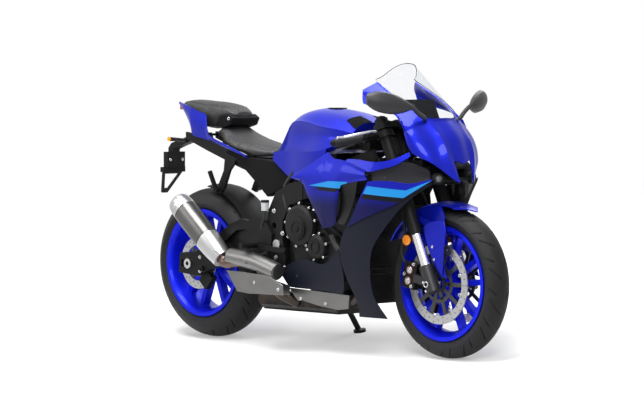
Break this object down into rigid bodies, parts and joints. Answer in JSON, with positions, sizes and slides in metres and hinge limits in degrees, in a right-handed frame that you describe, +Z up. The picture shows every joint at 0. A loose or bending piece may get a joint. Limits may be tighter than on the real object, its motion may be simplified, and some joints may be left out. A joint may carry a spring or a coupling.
{
  "type": "sport motorcycle",
  "caption": "Full-fairing sport motorcycle leaning on its side stand, with turning wheels, steered fork, folding stand and hinged fuel cap.",
  "frame": {"origin": "floor point in the middle of the parked machine's length and width", "axes": "+X forward along the machine, +Y to the rider's left, +Z up; the machine leans 10 degrees towards +Y onto its side stand"},
  "size_m": [2.0487, 0.703, 1.1535],
  "materials": {
    "blue_paint": "gloss clear coat",
    "navy_paint": "matte",
    "black_metal": "satin",
    "black_plastic": "fine grain",
    "radiator_black": "black",
    "exhaust_brown": "heat tinted",
    "titanium": "satin",
    "bright_steel": "machined",
    "shock_metal": "satin",
    "chain_steel": "oiled",
    "chrome_tube": "ground",
    "clear_screen": "clear",
    "lamp_lens": "clear",
    "red_lens": "gloss",
    "amber_lens": "gloss",
    "seat_cover": "grained",
    "grip_rubber": "matte",
    "tyre_rubber": "matte"
  },
  "bodies": {
    "chassis": {"frame": "black_metal", "subframe": "black_metal", "engine": "black_metal", "engine_covers": "black_metal", "radiator": "radiator_black", "exhaust_pipes": "exhaust_brown", "exhaust_shields": "titanium", "muffler": "titanium", "swingarm": "black_metal", "rear_axle": "bright_steel", "rear_shock": "shock_metal", "chain": "chain_steel", "rear_caliper": "black_metal", "rear_hugger": "black_plastic", "nose_cowl": "blue_paint", "windscreen": "clear_screen", "headlights": "lamp_lens", "nose_intake": "black_plastic", "dash": "black_plastic", "side_fairings": "blue_paint", "side_ducts": "black_plastic", "lower_fairings": "navy_paint", "mirrors": "black_plastic", "fuel_tank": "blue_paint", "tank_covers": "blue_paint", "seat": "seat_cover", "pillion_seat": "seat_cover", "tail_cowl": "blue_paint", "tail_light": "red_lens", "plate_bracket": "black_plastic", "rear_indicators": "amber_lens", "rearsets": "black_metal", "passenger_pegs": "black_metal"},
    "front_end": {"fork_tubes": "black_metal", "fork_sliders": "chrome_tube", "triple_clamps": "black_metal", "handlebars": "black_plastic", "grips": "grip_rubber", "levers": "black_plastic", "front_fender": "blue_paint", "front_calipers": "black_metal", "front_axle": "bright_steel", "reflectors": "amber_lens"},
    "front_wheel": {"front_rim": "blue_paint", "front_tyre": "tyre_rubber", "front_discs": "bright_steel"},
    "rear_wheel": {"rear_rim": "blue_paint", "rear_tyre": "tyre_rubber", "rear_disc": "bright_steel", "rear_sprocket": "bright_steel"},
    "stand": {"side_stand": "black_metal"},
    "filler": {"fuel_cap": "black_plastic"}
  },
  "joints": [
    {"name": "steering", "type": "hinge", "parent": "chassis", "child": "front_end", "pos_m": [0.47607, -0.01711, 0.79288], "axis": [-0.4067, 0.1586, 0.8997], "range_deg": [-24, 24]},
    {"name": "front_wheel_spin", "type": "hinge", "parent": "front_end", "child": "front_wheel", "pos_m": [0.732, -0.10479, 0.29563], "axis": [0, 0.9848, -0.1736], "continuous": true},
    {"name": "rear_wheel_spin", "type": "hinge", "parent": "chassis", "child": "rear_wheel", "pos_m": [-0.673, -0.10149, 0.31435], "axis": [0, 0.9848, -0.1736], "continuous": true},
    {"name": "side_stand_fold", "type": "hinge", "parent": "chassis", "child": "stand", "pos_m": [-0.101, 0.0365, 0.23315], "axis": [0.1746, 0.9454, 0.2752], "range_deg": [0, 93]},
    {"name": "fuel_cap_lid", "type": "hinge", "parent": "chassis", "child": "filler", "pos_m": [0.131, 0.01433, 0.97121], "axis": [0, 0.9848, -0.1736], "range_deg": [0, 95]}
  ]
}
